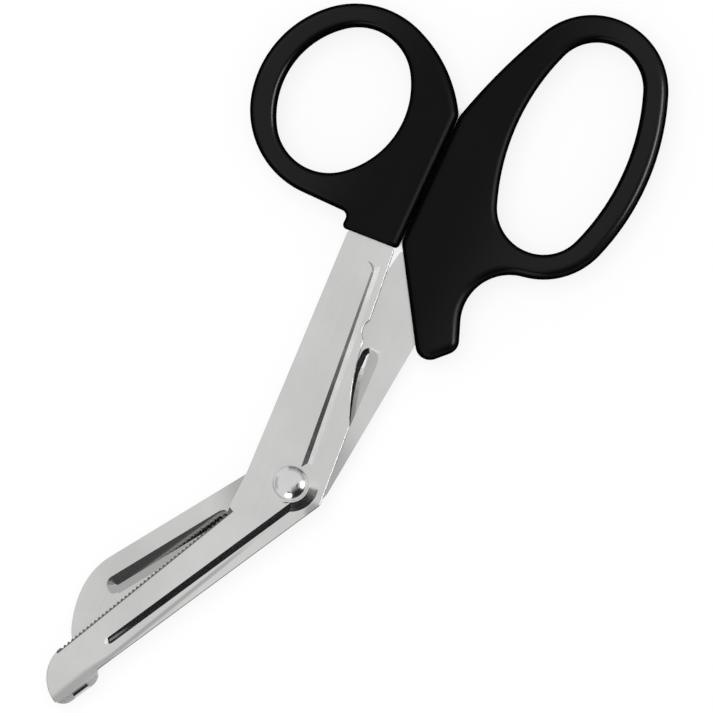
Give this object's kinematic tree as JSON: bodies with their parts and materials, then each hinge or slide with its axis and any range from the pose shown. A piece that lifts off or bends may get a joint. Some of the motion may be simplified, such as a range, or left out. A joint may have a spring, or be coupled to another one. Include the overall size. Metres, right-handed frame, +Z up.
{
  "type": "bandage scissors",
  "caption": "Angled bandage scissors with a serrated, blunt-footed front jaw, a plain round-nosed rear jaw, a domed pivot rivet and black moulded finger loops.",
  "frame": {"origin": "middle of the footprint of the closed scissors, on the surface they lie on", "axes": "+X along the seam of the handles, from the jaws to the loops; +Y to the thumb loop; +Z up, towards the domed head of the rivet"},
  "size_m": [0.1768, 0.0826, 0.0088],
  "materials": {
    "blade_steel": "satin stamped stainless sheet",
    "rivet_steel": "polished stainless",
    "handle_plastic": "smooth moulded black plastic with a soft sheen"
  },
  "bodies": {
    "front_half": {"front_blade": "blade_steel", "pivot_rivet": "rivet_steel", "pivot_washer": "rivet_steel", "thumb_handle": "handle_plastic"},
    "rear_half": {"rear_blade": "blade_steel", "finger_handle": "handle_plastic"}
  },
  "joints": [
    {"name": "pivot", "type": "hinge", "parent": "front_half", "child": "rear_half", "pos_m": [-0.02693, -0.00021, 0.0043], "axis": [0, 0, -1], "range_deg": [0, 90]}
  ]
}
